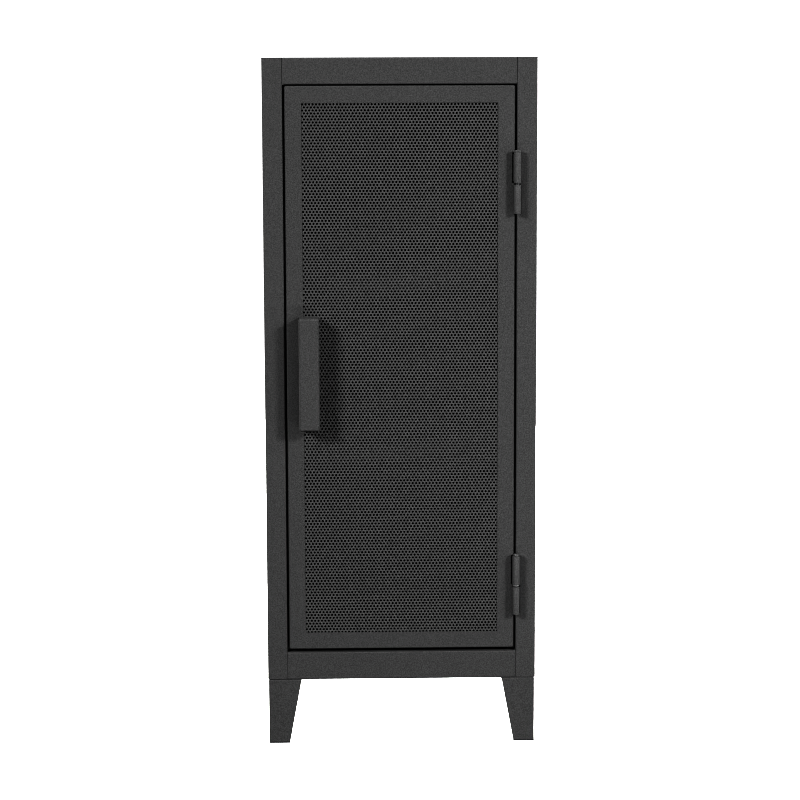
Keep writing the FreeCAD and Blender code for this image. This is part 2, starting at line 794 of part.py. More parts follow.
lip_end = -half_opening + size.stop_lip
lip_front = front + jamb_depth
lip_back = lip_front + size.sheet
screw_x = -half_opening + size.stop_lip / 2
screw_heights = [door_middle + size.catch_screw_spacing * side / 2 for side in (-1, 1)]
strike_back = front + size.door_thickness + size.strike_thickness
pole_face = strike_back + size.strike_gap
catch_reach = size.door_gap_side + size.door_back_lip - size.stop_lip
strike_x = lip_end + catch_reach / 2
rivet_places = [(0, size.rivet_spacing * side / 2) for side in (-1, 1)]


def magnetic_catch():
    """A housing behind the stop lip, with a magnet between two pole plates beside the lip's edge."""
    housing = block(
        (-half_opening, lip_back, door_middle - size.catch_height / 2),
        (size.stop_lip + catch_reach, size.catch_body_depth, size.catch_height),
    )
    stack = catch_reach - size.catch_side * 2
    magnet_thickness = stack - size.pole_thickness * 2
    stack_x = strike_x - stack / 2
    stack_y = pole_face + size.pole_proud
    stack_run = size.catch_body_depth - size.catch_wall - (stack_y - lip_back)
    stack_low = door_middle - size.magnet_height / 2
    nest_run = stack_run + size.pole_proud
    nest = block((stack_x, pole_face, stack_low), (stack, nest_run, size.magnet_height))
    tip = size.sheet / 2
    run = size.catch_body_depth + size.sheet - tip
    bores = []
    screws = []
    for z in screw_heights:
        radius = size.screw_radius + size.screw_clearance
        bores.append(rod((screw_x, lip_back, z), radius, size.catch_body_depth, "y"))
        shank = rod((screw_x, lip_front + tip, z), size.screw_radius, run, "y")
        head_y = lip_back + size.catch_body_depth
        head = rod((screw_x, head_y, z), size.screw_head_radius, size.screw_head_height, "y")
        screws.append(joined(shank, head))
    named(cut(housing, nest, *bores), "catch_housing")
    magnet_x = stack_x + size.pole_thickness
    magnet = block((magnet_x, stack_y, stack_low), (magnet_thickness, stack_run, size.magnet_height))
    named(magnet, "catch_magnet")
    poles = []
    for start in (stack_x, magnet_x + magnet_thickness):
        extent = (size.pole_thickness, nest_run, size.magnet_height)
        poles.append(block((start, pole_face, stack_low), extent))
    group("catch_pole_plates", poles)
    group("catch_screws", screws)


def strike():
    """The steel plate on the door's back lip that the magnet holds, and its two flush rivets."""
    half = catch_reach / 2
    low = door_middle - size.strike_height / 2
    plate_y = front + size.door_thickness
    plate = block((strike_x - half, plate_y, low), (half * 2, size.strike_thickness, size.strike_height))
    bores = []
    rivets = []
    for across, up in rivet_places:
        base = (strike_x + across, plate_y, door_middle + up)
        bores.append(rod(base, size.screw_radius + size.screw_clearance, size.strike_thickness, "y"))
        lip_face = plate_y - size.sheet
        shank = rod((base[0], lip_face, base[2]), size.screw_radius, size.sheet + size.strike_thickness, "y")
        head_y = lip_face - size.screw_head_height
        head = rod((base[0], head_y, base[2]), size.screw_head_radius, size.screw_head_height, "y")
        rivets.append(joined(shank, head))
    named(cut(plate, *bores), "catch_strike_plate")
    group("strike_rivets", rivets)


def door_bumpers():
    """Rubber discs on the stop lip that the closed door meets."""
    y = front + size.door_thickness + size.bumper_gap
    thickness = jamb_depth - size.door_thickness - size.bumper_gap
    heights = (door_bottom + size.bumper_inset, door_top - size.bumper_inset)
    group("door_bumpers", [rod((screw_x, y, z), size.bumper_radius, thickness, "y") for z in heights])


for side, sign in SIDES.items():
    side_panel(side, sign)
top_panel()
bottom_panel()
back_panel()
for corner_name, sx, sy in CORNERS:
    leg(corner_name, sx, sy)
    foot_glide(corner_name, sx, sy)
leg_fasteners()
for end, run in UPRIGHTS.items():
    for side, sign in SIDES.items():
        shelf_upright(end, side, sign, run)
shelf("lower", size.lower_slot)
shelf("upper", size.upper_slot)
door_frame()
door_perforated_panel()
door_handle()
for name, split in HINGES.items():
    hinge(name, split)
magnetic_catch()
strike()
door_bumpers()
doc.recompute()

for thing in doc.Objects:
    if "Invalid" in thing.State or "Error" in thing.State:
        raise ValueError(f"{thing.Label} failed: {thing.State}")
for piece in pieces:
    if piece.Shape.isNull() or not piece.Shape.isValid():
        raise ValueError(f"{piece.Label} has no valid shape")

os.makedirs("parts", exist_ok=True)
for piece in pieces:
    piece.Shape.exportStep(f"parts/{piece.Label}.step")
    print(piece.Label, len(piece.Shape.Solids), round(piece.Shape.Volume, 1))
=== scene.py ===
# %% [markdown]
# # A steel locker with a perforated door
#
# The solids of this locker come from a CAD model: folded sheets, legs, shelves, hinges. They arrive
# at their real size and place, and Blender never moves them. What is left for Blender is the look:
# ten thousand punched holes, the turned and welded parts of the hinges, the fasteners, and a finish
# for every surface. This lesson goes through that work one step at a time.

# %% Load the model
import json
import bpy
import numpy as np
from mathutils import Matrix, Vector


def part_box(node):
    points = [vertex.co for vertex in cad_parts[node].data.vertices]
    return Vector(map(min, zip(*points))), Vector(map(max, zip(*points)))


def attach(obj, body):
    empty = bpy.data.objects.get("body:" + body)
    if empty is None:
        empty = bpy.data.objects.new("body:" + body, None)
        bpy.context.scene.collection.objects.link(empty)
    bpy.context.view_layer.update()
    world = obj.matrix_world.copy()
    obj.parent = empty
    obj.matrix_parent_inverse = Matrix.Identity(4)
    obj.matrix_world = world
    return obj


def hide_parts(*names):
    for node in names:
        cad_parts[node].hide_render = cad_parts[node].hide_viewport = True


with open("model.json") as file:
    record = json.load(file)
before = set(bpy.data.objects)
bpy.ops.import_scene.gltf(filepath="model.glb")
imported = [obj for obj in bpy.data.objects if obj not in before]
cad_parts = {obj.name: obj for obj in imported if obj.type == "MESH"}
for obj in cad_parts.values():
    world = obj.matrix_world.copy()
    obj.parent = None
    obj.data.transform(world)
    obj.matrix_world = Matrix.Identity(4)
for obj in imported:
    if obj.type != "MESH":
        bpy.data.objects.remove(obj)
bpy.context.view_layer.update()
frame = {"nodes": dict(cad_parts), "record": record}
nodes = frame["nodes"]
MM = 0.001

# %% [markdown]
# ## Meshes from arrays
#
# A new piece starts as a polygon soup: an array of faces, each with its own corners in space.
# A soup is easy to work out with numpy, because no face has to know its neighbours. One welding
# step at the end finds the corners that lie at the same point and turns them into shared vertices,
# which closes the seams between rows, rings and caps.

# %% Weld a soup into a mesh
WELD_STEP = 1e-7


def weld(soups):
    """Vertices, the vertex of every face corner, and the number of corners of every face.

    A soup is an array of (faces, corners, 3). Corners are rounded to a tenth of a micrometre, and
    equal ones become one vertex.
    """
    corners = np.concatenate([soup.reshape(-1, 3) for soup in soups])
    keys = np.round(corners / WELD_STEP).astype(np.int64)
    _, first, vertex = np.unique(keys, axis=0, return_index=True, return_inverse=True)
    counts = np.concatenate([np.full(len(soup), soup.shape[1]) for soup in soups])
    return corners[first], vertex.ravel(), counts


def make_piece(name, soups, body, finish, replaces=(), crease=35.0, bake_map=None):
    """An object at the origin that wears one finish and rides on a CAD body.

    Edges sharper than the crease angle, in degrees, stay sharp. The rest are shaded smooth. A bake
    map gives each face corner its place on the texture that an export bakes.
    """
    points, corner_vertex, counts = weld(soups)
    mesh = bpy.data.meshes.new(name)
    mesh.vertices.add(len(points))
    mesh.vertices.foreach_set("co", points.astype(np.float32).ravel())
    mesh.loops.add(len(corner_vertex))
    mesh.loops.foreach_set("vertex_index", corner_vertex.astype(np.int32))
    mesh.polygons.add(len(counts))
    mesh.polygons.foreach_set("loop_start", (np.cumsum(counts) - counts).astype(np.int32))
    mesh.update(calc_edges=True)
    if bake_map is not None:
        layer = mesh.uv_layers.new(name="OFBake")
        layer.data.foreach_set("uv", np.concatenate([m.reshape(-1, 2) for m in bake_map]).ravel())
    mesh.shade_smooth()
    mesh.set_sharp_from_angle(angle=np.radians(crease))
    mesh.materials.append(finish)
    piece = bpy.data.objects.new(name, mesh)
    bpy.context.scene.collection.objects.link(piece)
    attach(piece, body)
    if replaces:
        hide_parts(*replaces)
    print(name, len(points), "vertices", len(counts), "faces on", body)
    return piece


# %% [markdown]
# ## Shader maths as expressions
#
# A node tree is arithmetic drawn as boxes. This small class lets the same arithmetic be written as
# Python: each operator adds one Math node and returns its output, so `0.5 + 0.2 * grain` makes two
# nodes. Every other node comes from one method that sets the node's options and feeds its sockets.

# %% A socket that can be calculated with


class Signal:
    """One output socket of a material's node tree."""

    def __init__(self, finish, socket):
        self.finish = finish
        self.socket = socket

    def math(self, operation, first, second=None):
        """Adds a Math node with one or two values and gives its output."""
        values = [first] if second is None else [first, second]
        return self.finish.node("ShaderNodeMath", {"operation": operation}, dict(enumerate(values)))

    def __add__(self, other):
        return self.math("ADD", self, other)

    __radd__ = __add__

    def __sub__(self, other):
        return self.math("SUBTRACT", self, other)

    def __rsub__(self, other):
        return self.math("SUBTRACT", other, self)

    def __mul__(self, other):
        return self.math("MULTIPLY", self, other)

    __rmul__ = __mul__

    def __abs__(self):
        return self.math("ABSOLUTE", self)

    def least(self, other):
        """The smaller of two values."""
        return self.math("MINIMUM", self, other)


# %% A material that is written like a recipe


class Finish:
    """A material, its Principled shader, and the nodes that feed it."""

    def __init__(self, name, **constants):
        self.material = bpy.data.materials.new(name)
        self.material.use_nodes = True
        self.tree = self.material.node_tree
        self.shader = self.tree.nodes["Principled BSDF"]
        self.feed_all(self.shader, constants)
        place = self.tree.nodes.new("ShaderNodeTexCoord")
        self.place = Signal(self, place.outputs["Object"])

    def feed(self, socket, value):
        """Puts a number, a colour or another node's output into a socket."""
        if isinstance(value, Signal):
            self.tree.links.new(value.socket, socket)
        else:
            socket.default_value = value

    def feed_all(self, shader, sockets):
        """Feeds a shader's sockets by name, where an underscore stands for a space."""
        for socket, value in sockets.items():
            self.feed(shader.inputs[socket.replace("_", " ")], value)

    def node(self, kind, settings=None, inputs=None, output=0):
        """Adds any node: its settings first, then its sockets by name or number."""
        made = self.tree.nodes.new(kind)
        for name, value in (settings or {}).items():
            setattr(made, name, value)
        for key, value in (inputs or {}).items():
            self.feed(made.inputs[key], value)
        return Signal(self, made.outputs[output])

    def noise(self, features_per_metre, detail=2.0, roughness=0.5, vector=None):
        """Soft random cloud with a given number of features to the metre, around 0.5."""
        sockets = {"Vector": vector or self.place, "Scale": features_per_metre}
        sockets |= {"Detail": detail, "Roughness": roughness}
        return self.node("ShaderNodeTexNoise", {}, sockets, "Fac")

    def axes(self):
        """The three object coordinates, each as a number."""
        return [self.node("ShaderNodeSeparateXYZ", {}, {"Vector": self.place}, axis) for axis in "XYZ"]

    def stretched(self, scale):
        """Object coordinates scaled by a vector, so that a pattern is drawn out along an axis."""
        return self.node("ShaderNodeMapping", {}, {"Vector": self.place, "Scale": scale})

    def spread(self, value, low, high, new_low=0.0, new_high=1.0):
        """The range from low to high carried over to a new range, and held at its ends."""
        sockets = {"Value": value, "From Min": low, "From Max": high}
        sockets |= {"To Min": new_low, "To Max": new_high}
        return self.node("ShaderNodeMapRange", {"clamp": True}, sockets)

    def mixed(self, share, first, second):
        """A colour between two colours."""
        sockets = {0: share, 6: first, 7: second}
        return self.node("ShaderNodeMix", {"data_type": "RGBA"}, sockets, 2)

    def bump(self, height, distance, strength=1.0):
        """A normal that follows a height, where a height of 1 stands out by the distance."""
        sockets = {"Height": height, "Distance": distance, "Strength": strength}
        return self.node("ShaderNodeBump", {}, sockets, "Normal")

    def lining(self, share, **sockets):
        """A second, plainer shader that takes over where the share is 1."""
        plain = self.tree.nodes.new("ShaderNodeBsdfPrincipled")
        self.feed_all(plain, sockets)
        shaders = {1: Signal(self, self.shader.outputs[0]), 2: Signal(self, plain.outputs[0])}
        both = self.node("ShaderNodeMixShader", {}, {0: share} | shaders)
        self.feed(self.tree.nodes["Material Output"].inputs["Surface"], both)

    def wear(self, **sockets):
        """Links what varies over the surface to the shader and returns the material."""
        self.feed_all(self.shader, sockets)
        print(self.material.name, len(self.tree.nodes), "nodes")
        return self.material


def grey(tone):
    """A colour with the same red, green and blue."""
    return (tone, tone, tone, 1.0)


# %% [markdown]
# ## Inside and outside
#
# Inside the cabinet the coat is plain and dull, with a tone of its own, and its colour darkens into
# painted shade on the back wall. The same folded sheet is the outer wall on one side and the inner wall
# on the other. Two materials on it would need its faces sorted by hand, so the coat finds the inside by
# itself: a point is inside when it lies further in than the door, the back, the floor, the roof and both
# sides.

# %% Where the inside begins
DOOR_MARGIN = 4.5 * MM
BACK_MARGIN = 1.6 * MM
WALL_MARGIN = 0.6 * MM
BORDER = 0.1 * MM
# Where the painted shade before the back wall begins, and where it is full.
FADE_START = 15.0 * MM
FADE_END = 8.0 * MM

wall_low, wall_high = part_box("side_panel_left")[0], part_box("side_panel_right")[1]
roof_level, floor_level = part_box("top_panel")[1].z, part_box("bottom_panel")[1].z
print("walls from", np.round(wall_low, 4), "to", np.round(wall_high, 4), "floor", round(floor_level, 4))


def within(coat):
    """1 inside the closed cabinet and 0 outside, from the least of the distances inwards from its walls."""
    x, y, z = coat.axes()
    behind_door = y - (wall_low.y + DOOR_MARGIN)
    before_back = (wall_high.y - BACK_MARGIN) - y
    over_floor = z - (floor_level - WALL_MARGIN)
    under_roof = (roof_level - WALL_MARGIN) - z
    between_sides = (wall_high.x - WALL_MARGIN) - abs(x)
    inwards = behind_door.least(before_back).least(over_floor).least(under_roof).least(between_sides)
    return coat.spread(inwards, -BORDER, BORDER)


def back_wall_shade(coat):
    """Mask of painted shade: 1 on the back wall and 0 a finger's breadth before it."""
    return coat.spread(coat.axes()[1], wall_high.y - FADE_START, wall_high.y - FADE_END)


# %% [markdown]
# ## Powder coat
#
# The locker is sprayed with anthracite powder that melts into a fine, pebbled skin. Its grains are one
# or two millimetres across, and some catch the light while their neighbours fall dark. Two noises of
# different grain make the pebbles: they tilt the surface through a bump, and they also lighten and
# darken the colour a little, because a bump alone fades out at a distance. A third, much coarser one
# lets the tone drift over the sheet. The perforated sheet, the handle and the hinges are painted a
# little lighter than the cabinet, as painted light, so each has a coat of its own, with the same recipe
# and another share of light. The door's coat needs no lining for the inside, and the lining of the
# shelves is darker.

# %% Powder coat
GRAINS_PER_METRE = 560.0
PEBBLES_PER_METRE = 2.3 * GRAINS_PER_METRE
CLOUDS_PER_METRE = 9.0
CLOUD_SHARE = 0.04
PEBBLE_SHARE = 0.4
GRAIN_RANGE = (0.37, 0.63)
PEBBLE_RANGE = (0.3, 0.7)
COAT_ROUGHNESS = (0.72, 0.9)
COAT_RELIEF = 0.1 * MM
ANTHRACITE_DARK = 0.031
ANTHRACITE_LIGHT = 0.056
PAINT_IOR = 1.45
INSIDE_TONE = 0.06
SHELF_COAT = 0.03
# The lining's painted shade on the back wall.
BACK_WALL_SHADE = 0.012


def powder_coat(name, share, inside=None):
    """Anthracite coat whose colour runs between a dark and a light tone with the grain.

    The tone inside, if given, is for a lining without grain, with painted shade on the back wall.
    """
    coat = Finish(name, IOR=PAINT_IOR)
    grain = coat.noise(GRAINS_PER_METRE, detail=3.0, roughness=0.7)
    pebbles = coat.noise(PEBBLES_PER_METRE, detail=1.0)
    clouds = coat.noise(CLOUDS_PER_METRE, detail=2.0)
    tone = coat.spread((1 - CLOUD_SHARE) * grain + CLOUD_SHARE * clouds, *GRAIN_RANGE)
    skin = (1 - PEBBLE_SHARE) * grain + PEBBLE_SHARE * pebbles
    if inside is not None:
        # The lining's colour turns into painted shade on the back wall.
        plain = coat.mixed(back_wall_shade(coat), grey(inside), grey(BACK_WALL_SHADE))
        coat.lining(within(coat), Base_Color=plain, Roughness=0.9, Specular_IOR_Level=0.1)
    return coat.wear(
        Base_Color=coat.mixed(tone, grey(share * ANTHRACITE_DARK), grey(share * ANTHRACITE_LIGHT)),
        Roughness=coat.spread(pebbles, *PEBBLE_RANGE, *COAT_ROUGHNESS),
        Normal=coat.bump(skin, COAT_RELIEF, strength=0.8),
    )


anthracite = powder_coat("powder_coat_anthracite", share=1.0, inside=INSIDE_TONE)
anthracite_shelves = powder_coat("powder_coat_on_shelves", share=1.0, inside=SHELF_COAT)
anthracite_door = powder_coat("powder_coat_on_door", share=1.0)
# Painted light: lighter copies of the coat for the sheet, the handle and the hinges.
sheet_coat_painted_light = powder_coat("powder_coat_on_sheet", share=1.22)
handle_coat_painted_light = powder_coat("powder_coat_on_handle", share=1.04)
hinge_coat_painted_light = powder_coat("powder_coat_on_hinges", share=1.28)

# %% [markdown]
# ## Metals, plastic and rubber
#
# The small parts have other finishes. Zinc plate is a cloudy, slightly blue silver. Turned steel carries
# fine rings from the lathe, which a noise stretched flat across the height imitates, and they show
# through the smooth paint on the lower hinge's cap and ring too. The plastic has a moulded grain, the
# rubber a dull bloom, and the magnet is pressed from dark powder. In most of them one pattern drives
# the colour, the roughness and the height together, so they share one function.

# %% One pattern for a whole finish
RINGS_PER_METRE = (40.0, 40.0, 4000.0)


def lathe_rings(finish):
    """Noise that is drawn out across the axis of turning and fine along it."""
    return finish.noise(1.0, detail=3.0, vector=finish.stretched(RINGS_PER_METRE))


def grained(finish, pattern, tones, roughness, relief, strength):
    """A finish that runs with a pattern between two tones and two roughnesses, and stands out by it."""
    smooth, rough = roughness
    return finish.wear(
        Base_Color=finish.mixed(pattern, *tones),
        Roughness=smooth + (rough - smooth) * pattern,
        Normal=finish.bump(pattern, relief, strength),
    )


# %% Metals and paint


def zinc_plate():
    """Plated steel: cloudy blue-grey with a slight yellow cast in patches, over a fine grain."""
    zinc = Finish("zinc_plate", Metallic=1.0)
    cloud = zinc.noise(features_per_metre=60.0, detail=4.0)
    grain = zinc.noise(features_per_metre=900.0, detail=2.0)
    patches = zinc.spread(cloud, 0.35, 0.65)
    return zinc.wear(
        Base_Color=zinc.mixed(patches, (0.5, 0.53, 0.57, 1), (0.62, 0.61, 0.56, 1)),
        Roughness=0.3 + 0.22 * cloud,
        Normal=zinc.bump(grain, 0.03 * MM, strength=0.5),
    )


def turned_steel():
    """Bare steel with lathe rings."""
    steel = Finish("turned_steel", Metallic=1.0)
    tones = [(0.14, 0.14, 0.14, 1), (0.24, 0.24, 0.235, 1)]
    return grained(steel, lathe_rings(steel), tones, roughness=(0.26, 0.46), relief=0.02 * MM, strength=0.6)


def smooth_paint(name, tone, gloss):
    """Smooth grey paint over faint lathe rings, which change its tone by a fifth either way."""
    paint = Finish(name, IOR=PAINT_IOR, Specular_IOR_Level=gloss)
    tones = [grey(0.8 * tone), grey(1.2 * tone)]
    return grained(paint, lathe_rings(paint), tones, roughness=(0.26, 0.36), relief=0.02 * MM, strength=0.3)


# %% Plastic, rubber and magnet


def moulded_plastic():
    """Black plastic with a fine eroded grain."""
    plastic = Finish("moulded_plastic", IOR=1.5)
    grain = plastic.noise(features_per_metre=1500.0, detail=2.0)
    tones = [(0.008, 0.008, 0.009, 1), (0.02, 0.02, 0.021, 1)]
    return grained(plastic, grain, tones, roughness=(0.42, 0.62), relief=0.04 * MM, strength=0.6)


def soft_rubber():
    """Dark rubber with a pale bloom in patches."""
    rubber = Finish("soft_rubber", IOR=1.5)
    bloom = rubber.noise(features_per_metre=200.0, detail=4.0)
    tones = [(0.015, 0.015, 0.015, 1), (0.045, 0.044, 0.043, 1)]
    return grained(rubber, bloom, tones, roughness=(0.75, 0.95), relief=0.05 * MM, strength=0.4)


def pressed_ferrite():
    """The magnet's pressed and sintered powder, dark with a faint metallic grain."""
    ferrite = Finish("pressed_ferrite", Metallic=0.3)
    grain = ferrite.noise(features_per_metre=2500.0, detail=2.0)
    tones = [(0.03, 0.03, 0.032, 1), (0.09, 0.09, 0.095, 1)]
    return grained(ferrite, grain, tones, roughness=(0.45, 0.75), relief=0.05 * MM, strength=0.6)


finish_of = {
    "powder_coat": anthracite,
    "zinc_steel": zinc_plate(),
    "bright_steel": turned_steel(),
    "black_plastic": moulded_plastic(),
    "rubber": soft_rubber(),
    "magnet": pressed_ferrite(),
}

# %% [markdown]
# ## Dress the CAD nodes
#
# The record says which finish every node takes, by the name of a material slot. One loop puts the
# new materials on the nodes' own slots, and the meshes stay as they are. Four nodes have a coat of
# their own.

# %% Finish for every node
slot_of = {part["node"]: part["material_slot"] for part in frame["record"]["subparts"]}
own_coat = {
    "door_frame": anthracite_door,
    "door_handle": handle_coat_painted_light,
    "shelf_lower": anthracite_shelves,
    "shelf_upper": anthracite_shelves,
}
for node, slot in slot_of.items():
    nodes[node].data.materials.clear()
    nodes[node].data.materials.append(own_coat.get(node, finish_of[slot]))
print("dressed", len(slot_of), "nodes")

# %% [markdown]
# ## The perforated sheet
#
# The door's window is filled with a steel sheet punched with 3 mm holes, in rows that are shifted by
# half a pitch. A transparent texture would look flat from the side and would not survive an export,
# so each hole is real: a ring of twelve points on the front, a small bevelled rim, the wall and the
# back. A hole sits in a brick-shaped cell, and the bricks of a row meet those of the next row at
# their quarter points, so the welded sheet has no gaps.

# %% Hole pattern
HOLES_IN_ROW = 57
ROWS = 182
HOLE_PITCH = 5.04 * MM
ROW_PITCH = 4.324 * MM
HOLE_RADIUS = 1.5 * MM
RIM = 0.22 * MM
FIRST_HOLE = -141.5 * MM
TOP_ROW = 952.7 * MM

sheet_low, sheet_high = (np.array(corner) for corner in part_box("door_perforated_panel"))
sheet_front, sheet_back = sheet_low[1], sheet_high[1]
print(HOLES_IN_ROW * ROWS, "holes in a sheet", np.round((sheet_high - sheet_low) / MM, 2), "mm")


def hole_outlines():
    """The brick's outline and the unit circle, each as twelve (x, z) points at matching angles."""
    half, quarter, tall = HOLE_PITCH / 2, HOLE_PITCH / 4, ROW_PITCH / 2
    across = np.array([half, half, quarter, 0, -quarter, -half, -half, -half, -quarter, 0, quarter, half])
    up = np.array([0, tall, tall, tall, tall, tall, 0, -tall, -tall, -tall, -tall, -tall])
    turn = np.arange(12) * np.pi / 6
    return np.stack([across, up], axis=1), np.stack([np.cos(turn), np.sin(turn)], axis=1)


def ring_quads(rings):
    """Quads between each ring and the next, for an array of (..., rings, points, axes)."""
    near, far = rings[..., :-1, :, :], rings[..., 1:, :, :]
    corners = [near, np.roll(near, -1, axis=-2), np.roll(far, -1, axis=-2), far]
    return np.stack(corners, axis=-2)


# %% [markdown]
# An export paints the look of each mesh onto a texture. An automatic unwrapping of ten thousand holes
# would take long and cut the sheet into as many islands, so the map is given: the front of
# the sheet on the left half, the back on the right, and each hole's wall inside its own hole.

# %% Punched cells and their map
MAP_MARGIN = 2.0 * MM
WALL_END_ON_MAP = 0.5


def on_map(flat, back=False):
    """Where (x, z) places lie on the map: the front on its left half, the back on its right."""
    span = sheet_high - sheet_low + 2 * MAP_MARGIN
    u = (flat[..., 0] - sheet_low[0] + MAP_MARGIN) / span[0]
    v = (flat[..., 1] - sheet_low[2] + MAP_MARGIN) / span[2]
    return np.stack([(u + back) / 2, v], axis=-1)


def punched_cells(rows):
    """Quads of every hole's cell, front to back, with their places on the map.

    Five rings run from the brick's outline on the front, over the rim and the wall, to the outline on
    the back. On the map the wall ends at half the hole's radius, where nothing else is.
    """
    brick, circle = hole_outlines()
    shift = (rows % 2) * HOLE_PITCH / 2
    x = FIRST_HOLE + np.arange(HOLES_IN_ROW) * HOLE_PITCH + shift[:, None]
    z = np.broadcast_to((TOP_ROW - rows * ROW_PITCH)[:, None], x.shape)
    centres = np.stack([x, z], axis=-1)[:, :, None, None, :]
    wall = HOLE_RADIUS * circle
    rings = np.stack([brick, (HOLE_RADIUS + RIM) * circle, wall, wall, brick])
    depth = np.array([sheet_front, sheet_front, sheet_front + RIM, sheet_back, sheet_back])
    flat = centres + rings
    solid = np.insert(flat, 1, np.broadcast_to(depth[:, None], flat.shape[:-1]), axis=-1)
    inside = centres + np.stack([rings[0], rings[1], rings[2], WALL_END_ON_MAP * rings[3]])
    front_map, back_map = ring_quads(on_map(inside)), ring_quads(on_map(flat[:, :, 3:], back=True))
    cells_map = np.concatenate([front_map, back_map], axis=2)
    return [ring_quads(solid).reshape(-1, 4, 3)], [cells_map.reshape(-1, 4, 2)]


# %% [markdown]
# Round the holes runs a plain border. Its strips have a corner wherever a brick has one, because a
# corner that meets the middle of a neighbour's edge would leave a crack.

# %% Border strips and cut edges


def plate_faces(outline):
    """Front and back polygons from outlines of (faces, corners, 2), anticlockwise seen from the front."""
    back = outline[:, ::-1]
    soups = [np.insert(outline, 1, sheet_front, axis=2), np.insert(back, 1, sheet_back, axis=2)]
    return soups, [on_map(outline), on_map(back, back=True)]


def edge_faces(line):
    """The sheet's cut edge along a line of (points, 2), with the material on the line's left.

    On the map it lies beside the front face, a sheet's thickness wide.
    """
    along = line[-1] - line[0]
    outward = np.array([along[1], -along[0]]) / np.linalg.norm(along) * (sheet_back - sheet_front)
    levels = [np.insert(line, 1, level, axis=1) for level in (sheet_front, sheet_back)]
    maps = [on_map(line), on_map(line + outward)]
    quads = [np.stack([a[1:], a[:-1], b[:-1], b[1:]], axis=1) for a, b in (levels, maps)]
    return [quads[0]], [quads[1]]


def quarter_points():
    """The x places where the rows' upper and lower edges have vertices, with the sheet's two sides."""
    quarters = FIRST_HOLE - HOLE_PITCH / 2 + np.arange(4 * HOLES_IN_ROW + 3) * HOLE_PITCH / 4
    return np.concatenate([[sheet_low[0]], quarters, [sheet_high[0]]])


def side_strip(rows, left):
    """The plain strips beside a set of rows, all shifted or all straight, one polygon to a row.

    A shifted row stands back by half a pitch on the left, and a straight row does on the right. Its
    strip then has two more corners on each long edge, where the neighbouring rows have theirs.
    """
    shifted = rows[0] % 2
    centre = TOP_ROW - rows * ROW_PITCH
    xs = quarter_points()[: 2 + 2 * shifted] if left else quarter_points()[::-1][: 4 - 2 * shifted]
    levels = [(x, -0.5) for x in xs] + [(xs[-1], 0.0)] + [(x, 0.5) for x in xs[::-1]]
    corners = [np.stack([np.full_like(centre, x), centre + step * ROW_PITCH], axis=1) for x, step in levels]
    outline = np.stack(corners, axis=1)
    return plate_faces(outline if left else outline[:, ::-1])


def plain_strip(low, high):
    """The unpunched strip above the first row or below the last one, in quads."""
    xs = quarter_points()
    corners = [(xs[:-1], low), (xs[1:], low), (xs[1:], high), (xs[:-1], high)]
    return plate_faces(np.stack([np.stack([x, np.full_like(x, z)], axis=1) for x, z in corners], axis=1))


# %% [markdown]
# One mesh for the whole sheet would be heavy, so the rows are dealt out to bands. Each band is a closed
# body with its own four cut edges, and together they stand for the plain sheet of the CAD model.

# %% Bands of the sheet
BANDS = 7


def perforated_band(rows):
    """All faces of one band of the sheet, closed on its four cut edges, and their map."""
    levels = TOP_ROW - (np.append(rows, rows[-1] + 1) - 0.5) * ROW_PITCH
    parts = [punched_cells(rows)]
    parts += [side_strip(rows[rows % 2 == odd], left) for odd in (0, 1) for left in (True, False)]
    if rows[0] == 0:
        parts.append(plain_strip(levels[0], sheet_high[2]))
        levels = np.insert(levels, 0, sheet_high[2])
    if rows[-1] == ROWS - 1:
        parts.append(plain_strip(sheet_low[2], levels[-1]))
        levels = np.append(levels, sheet_low[2])
    xs = quarter_points()
    parts.append(edge_faces(np.stack([np.full_like(levels, sheet_low[0]), levels], axis=1)))
    parts.append(edge_faces(np.stack([np.full_like(levels, sheet_high[0]), levels], axis=1)[::-1]))
    parts.append(edge_faces(np.stack([xs, np.full_like(xs, levels[-1])], axis=1)))
    parts.append(edge_faces(np.stack([xs, np.full_like(xs, levels[0])], axis=1)[::-1]))
    return [soup for part in parts for soup in part[0]], [flat for part in parts for flat in part[1]]


for number, rows in enumerate(np.array_split(np.arange(ROWS), BANDS), start=1):
    soups, bake_map = perforated_band(rows)
    name = f"perforated_sheet_{number}"
    stands_for = ["door_perforated_panel"]
    make_piece(name, soups, "door", sheet_coat_painted_light, stands_for, bake_map=bake_map)

# %% [markdown]
# ## Turned parts and prisms
#
# Hinge knuckles, caps and washers come off a lathe, so each is a profile turned about an axis. The
# profile runs up the outside and, where there is a bore, down again inside it. A ring need not be
# round: with a radius that depends on the angle, the same function makes hexagons for bolts and nuts
# and a cross for a screw's recess. Flat bars are outlines carried along an axis.

# %% Turn a profile
AROUND = 48
TURN_ANGLES = 2 * np.pi * np.arange(AROUND) / AROUND


def arc(centre, radius, start, end, count=5):
    """Profile points on a circle about a centre, from one angle to another in degrees."""
    angle = np.radians(np.linspace(start, end, count))
    return list(zip(centre[0] + radius * np.cos(angle), centre[1] + radius * np.sin(angle)))


